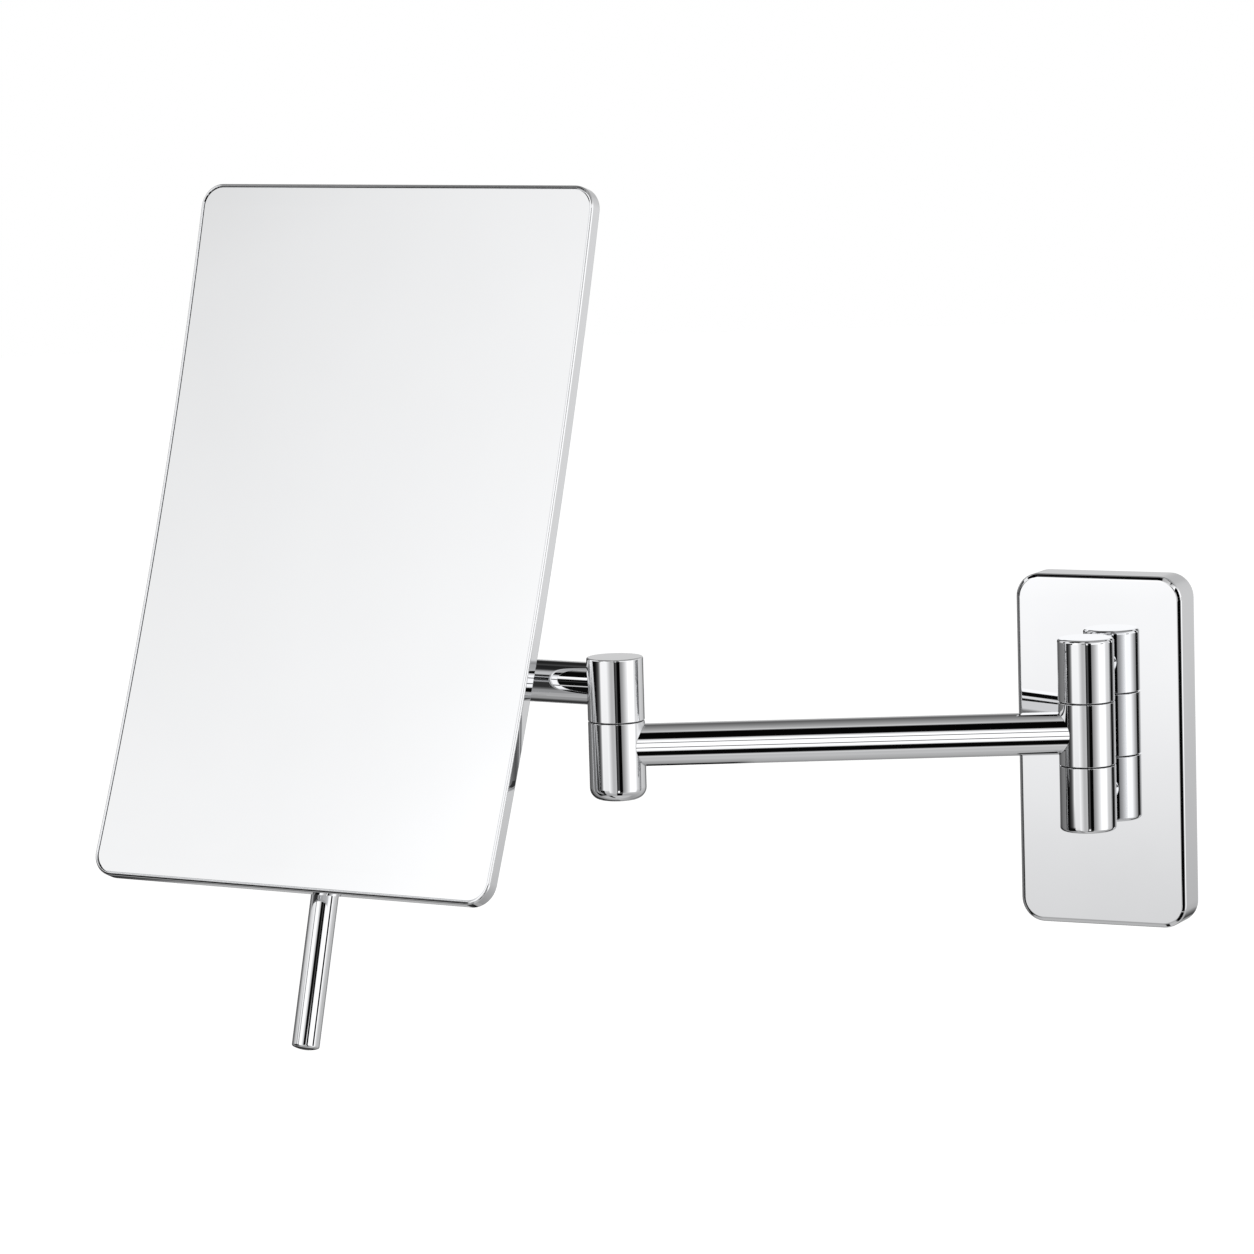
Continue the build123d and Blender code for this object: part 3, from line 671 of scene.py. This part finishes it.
ROD_GAP = [(9, 178), (11, 10), (23, 10)]
ROD_LINE = [(-4.5, 253), (-2.5, 20), (5.5, 20), (8, 253)]
ROD_WHITE = [(-2, 250), (26, 250)]
STRIPE_LINES = [(-11, 252), (-10.4, 70), (-6.9, 70), (-6.3, 252),
                (15, 252), (15.6, 60), (18.8, 60), (19.2, 252)]
MIRROR_SEES_LEFT = [(20, 205), (21.8, 216), (23, 229), (24.5, 237), (25.8, 243), (27.5, 249), (30, 253)]
MIRROR_SEES_MIDDLE = [(20, 226), (21.8, 236), (23, 242), (24.5, 246), (25.8, 250), (27.5, 253), (30, 255)]
MIRROR_SEES_RIGHT = [(20, 237), (22, 246), (24, 250), (26, 252), (30, 254)]
PLATE_SEES = [(-30, 165), (-14, 192), (-10.7, 216), (-9.5, 229), (-8, 243), (-6.5, 250), (26, 252)]


def front_panel(tone, *rows):
    """A column in front: one tone at eye level, but for the rows given, between a low and a high dark gap."""
    return BELOW + [(-25, 0.95 * tone), (-20, tone), *rows, (26, tone)] + ABOVE


def open_panel(tone, *rows):
    """A front column where the two gaps have closed."""
    return PALE_BELOW + [(-25, 0.95 * tone), (-20, tone), *rows, (26, tone)] + PALE_ABOVE


def side_panel(tone):
    """A column at the right side: the gaps have closed."""
    return SIDE_BELOW + [(-25, 0.85 * tone), (-11, 0.9 * tone), (-7, tone), (30, tone), (50, 150), (70, 140),
                         (90, 168)]


def side_corner(tone):
    """Where the right side meets the wall behind: dark at eye level, pale above."""
    return SIDE_BELOW + [(-25, 0.85 * tone), (-7, tone), (4, tone), (9, 195), (20, 185), (43, 120), (70, 135),
                         (90, 168)]


def slit(tone):
    """Where a dark gap is open at the level that the upright barrels see."""
    return [(-10.5, 12), (-9.7, tone), (-6.3, tone), (-5.5, 12), (10, 12), (13, 235), (16.5, 238)]


TENT = [
    (-180, BEHIND_LOW_DARK),
    (-177, BEHIND_LOW_DARK),
    (-175, LEFT_BEHIND + [(-9, 120), (8, 195), (20, 150), (30, 40), (45, 40)] + TOP_BEHIND),
    (-158, LEFT_BEHIND + [(-9, 80), (5, 80), (14, 30), (45, 30)] + TOP_BEHIND),
    (-143, LEFT_BEHIND + [(-9, 98), (5, 98), (14, 30), (45, 30)] + TOP_BEHIND),
    (-138, LEFT_BEHIND + [(-9, 100), (5, 100), (14, 190), (45, 190), (70, 140), (90, 168)]),
    (-132, SIDE_BELOW + [(-20, 110), (-9, 112), (1, 112), (5, 150), (14, 215), (45, 200), (70, 140),
                         (90, 168)]),
    (-106, SIDE_BELOW + [(-20, 120), (-9, 126), (0, 126), (5, 200), (14, 235), (45, 215), (60, 150),
                         (90, 168)]),
    (-102, DARK_GAP + [(16, 240), (40, 235), (60, 160), (90, 168)]),
    (-87, DARK_GAP + [(16, 228), (40, 240)] + WHITE_ABOVE[1:]),
    (-84, SPLIT_GAP + slit(30) + MIRROR_SEES_LEFT + DARK_ABOVE),
    (-72, SPLIT_GAP + slit(90) + MIRROR_SEES_LEFT + DARK_ABOVE),
    (-66, SPLIT_GAP + slit(165) + MIRROR_SEES_MIDDLE + DARK_ABOVE),
    (-62, SPLIT_GAP + slit(238) + MIRROR_SEES_RIGHT + DARK_ABOVE),
    (-60, SPLIT_GAP + slit(246) + MIRROR_SEES_RIGHT + DARK_ABOVE),
    (-58, EDGE_BELOW + PLATE_SEES + WHITE_ABOVE),
    (-56, PLATE_BELOW + PLATE_SEES + WHITE_ABOVE),
    (-40, PLATE_BELOW + PLATE_SEES + WHITE_ABOVE),
    (-36, open_panel(245)),
    (-22, open_panel(188)),
    (-18, open_panel(180, *ROD_GAP)),
    (-10, open_panel(186, *ROD_GAP)),
    (-6.5, front_panel(196, *ROD_GAP)),
    (-5, front_panel(8)),
    (-3, front_panel(8)),
    (-2.2, front_panel(252, *STRIPE_LINES)),
    (4.2, front_panel(253, *STRIPE_LINES)),
    (5, front_panel(5)),
    (17, front_panel(5)),
    (18.5, open_panel(135, (-5, 135), *ROD_WHITE)),
    (30, open_panel(175, (-5, 175), *ROD_WHITE)),
    (40, open_panel(215, (-5, 215), *ROD_WHITE)),
    (50, open_panel(252)),
    (57, open_panel(253)),
    (59, open_panel(253, *ROD_LINE)),
    (70, open_panel(254, *ROD_LINE)),
    (73, open_panel(255)),
    (76, open_panel(255)),
    (86, side_panel(218)),
    (107, side_panel(204)),
    (120, side_panel(212)),
    (128, side_panel(202)),
    (142, side_panel(194)),
    (148, side_corner(140)),
    (157, side_corner(70)),
    (164, BEHIND),
    (180, BEHIND),
]


# a dark corridor that the tilt tube sees, and a pale patch that the mirror's bottom side sees
CORRIDOR_AZ = (-66.4, -62.0)
CORRIDOR_EL = (11.0, 21.0)
CORRIDOR_TONE = 10
CORRIDOR_BLUR_AZ = 0.25
CORRIDOR_BLUR_EL = 1.0
PATCH_AT = (-171.1, -28.3)
PATCH_TONE = 172
PATCH_AZ_REACH = (3.0, 4.2)
PATCH_EL_REACH = (2.6, 3.6)


def smooth(low, high, x):
    """0 at low and 1 at high, with a soft start and end."""
    t = min(max((x - low) / (high - low), 0), 1)
    return t * t * (3 - 2 * t)


def table_value(table, x):
    """A value from a table of (x, value) rows, straight between rows."""
    (x0, v0), (x1, v1) = next(pair for pair in zip(table, table[1:]) if x <= pair[1][0])
    return v0 + (v1 - v0) * (x - x0) / (x1 - x0)


def corridor(az, el):
    """How far a direction is inside the dark corridor, 0 to 1."""
    low_az, high_az = CORRIDOR_AZ
    low_el, high_el = CORRIDOR_EL
    return (smooth(-CORRIDOR_BLUR_AZ, CORRIDOR_BLUR_AZ, az - low_az)
            * smooth(-CORRIDOR_BLUR_AZ, CORRIDOR_BLUR_AZ, high_az - az)
            * smooth(low_el, low_el + CORRIDOR_BLUR_EL, el) * smooth(high_el, high_el - CORRIDOR_BLUR_EL, el))


def patch(az, el):
    """How far a direction is inside the pale patch, 0 to 1."""
    return (smooth(*reversed(PATCH_AZ_REACH), abs(az - PATCH_AT[0]))
            * smooth(*reversed(PATCH_EL_REACH), abs(el - PATCH_AT[1])))


def tent_tone(az, el):
    """The tone of the tent at an azimuth and elevation seen from the object."""
    (az0, left), (az1, right) = next(pair for pair in zip(TENT, TENT[1:]) if az <= pair[1][0])
    t = (az - az0) / (az1 - az0)
    tone = (1 - t) * table_value(left, el) + t * table_value(right, el)
    tone += (CORRIDOR_TONE - tone) * corridor(az, el)
    return tone + (PATCH_TONE - tone) * patch(az, el)


def to_light(tone):
    """Scene light for a tone shown by the sRGB curve, with the whitest a little brighter than white."""
    v = tone / 255
    light = ((v + 0.055) / 1.055) ** 2.4 if v > 0.04045 else v / 12.92
    return light / CHROME_SHOWS * (1 + WHITE_BOOST * smooth(WHITE_FROM, WHITEST, tone))


def light_tent():
    """A glowing sphere painted with the tent's tones, which only reflections and light see."""
    points, tones = [], []
    for i in range(TENT_UP + 1):
        el = -90 + 180 * i / TENT_UP
        for k in range(TENT_ACROSS):
            az = -180 + 360 * k / TENT_ACROSS
            a = CAMERA_YAW - pi / 2 + radians(az)
            e = radians(el)
            points.append((TENT_R * cos(e) * cos(a), TENT_R * cos(e) * sin(a), TENT_R * sin(e)))
            tones.append(to_light(tent_tone(az, el)))
    rows = numbered_rows(TENT_UP + 1, TENT_ACROSS)
    mesh = bpy.data.meshes.new("light_tent")
    mesh.from_pydata(points, [], [face for low, high in zip(rows, rows[1:]) for face in band(low, high)])
    paint = mesh.attributes.new("tone", "FLOAT_COLOR", "POINT")
    paint.data.foreach_set("color", [c for t in tones for c in (t, t, t * BLUE_CAST, 1)])
    tent = add_object("light_tent", mesh)
    cloth = bpy.data.materials.new("tent_cloth")
    cloth.use_nodes = True
    tree = cloth.node_tree
    tree.nodes.clear()
    glow = tree.nodes.new("ShaderNodeEmission")
    painted = tree.nodes.new("ShaderNodeAttribute")
    painted.attribute_name = "tone"
    out = tree.nodes.new("ShaderNodeOutputMaterial")
    tree.links.new(painted.outputs["Color"], glow.inputs["Color"])
    tree.links.new(glow.outputs["Emission"], out.inputs["Surface"])
    cloth.cycles.emission_sampling = "NONE"
    mesh.materials.append(cloth)
    tent.visible_camera = False
    tent.visible_shadow = False


# ---- floor, lamp and camera, in metres -------------------------------------------------------------
FLOOR_R = 7.5
FLOOR_DROP = 0.35


def pale_floor():
    """A pale disc under the object, which its chrome doesn't reflect."""
    mesh = bpy.data.meshes.new("floor")
    work = bmesh.new()
    bmesh.ops.create_circle(work, cap_ends=True, segments=96, radius=FLOOR_R)
    work.to_mesh(mesh)
    work.free()
    floor = add_object("floor", mesh)
    floor.location = (0, 0, CAD_BOX[0].z - FLOOR_DROP)
    pale = bpy.data.materials.new("pale_floor")
    pale.use_nodes = True
    shader = pale.node_tree.nodes["Principled BSDF"]
    shader.inputs["Base Color"].default_value = (0.2, 0.2, 0.2, 1)
    shader.inputs["Roughness"].default_value = 0.9
    shader.inputs["Emission Color"].default_value = (1, 1, 1, 1)
    shader.inputs["Emission Strength"].default_value = 0.96
    mesh.materials.append(pale)
    floor.visible_glossy = False
    floor.visible_diffuse = False


def soft_light():
    """A plain soft light above and to the left, for what isn't polished."""
    lamp = bpy.data.lights.new("soft_box", "AREA")
    lamp.shape = "RECTANGLE"
    lamp.size = 1.4
    lamp.size_y = 1.0
    lamp.energy = 14
    box = add_object("soft_box", lamp)
    box.location = (-0.9, -1.6, 1.7)
    box.rotation_mode = "QUATERNION"
    box.rotation_quaternion = box.location.to_track_quat("Z", "Y")
    box.visible_glossy = False
    box.visible_camera = False


def photo_camera():
    """The photograph's camera: level direction, then looking down, then a slight roll."""
    forward = Vector((-sin(CAMERA_YAW), cos(CAMERA_YAW), 0))
    right = Vector((cos(CAMERA_YAW), sin(CAMERA_YAW), 0))
    up = Vector((0, 0, 1))
    look = forward * cos(CAMERA_PITCH) + up * sin(CAMERA_PITCH)
    top = up * cos(CAMERA_PITCH) - forward * sin(CAMERA_PITCH)
    side = right * cos(CAMERA_ROLL) + top * sin(CAMERA_ROLL)
    top = top * cos(CAMERA_ROLL) - right * sin(CAMERA_ROLL)
    turn = Matrix((side, top, -look)).transposed()
    data = bpy.data.cameras.new("camera")
    data.sensor_width = CAMERA_SENSOR
    data.lens = CAMERA_LENS
    data.clip_end = 50
    camera = add_object("camera", data)
    camera.matrix_world = Matrix.Translation(CAMERA_AT) @ turn.to_4x4()
    bpy.context.scene.camera = camera


light_tent()
pale_floor()
soft_light()
photo_camera()

world = bpy.data.worlds.new("white_room")
world.use_nodes = True
world.node_tree.nodes["Background"].inputs["Color"].default_value = (1, 1, 1, 1)
bpy.context.scene.world = world
bpy.context.scene.view_settings.view_transform = "Standard"
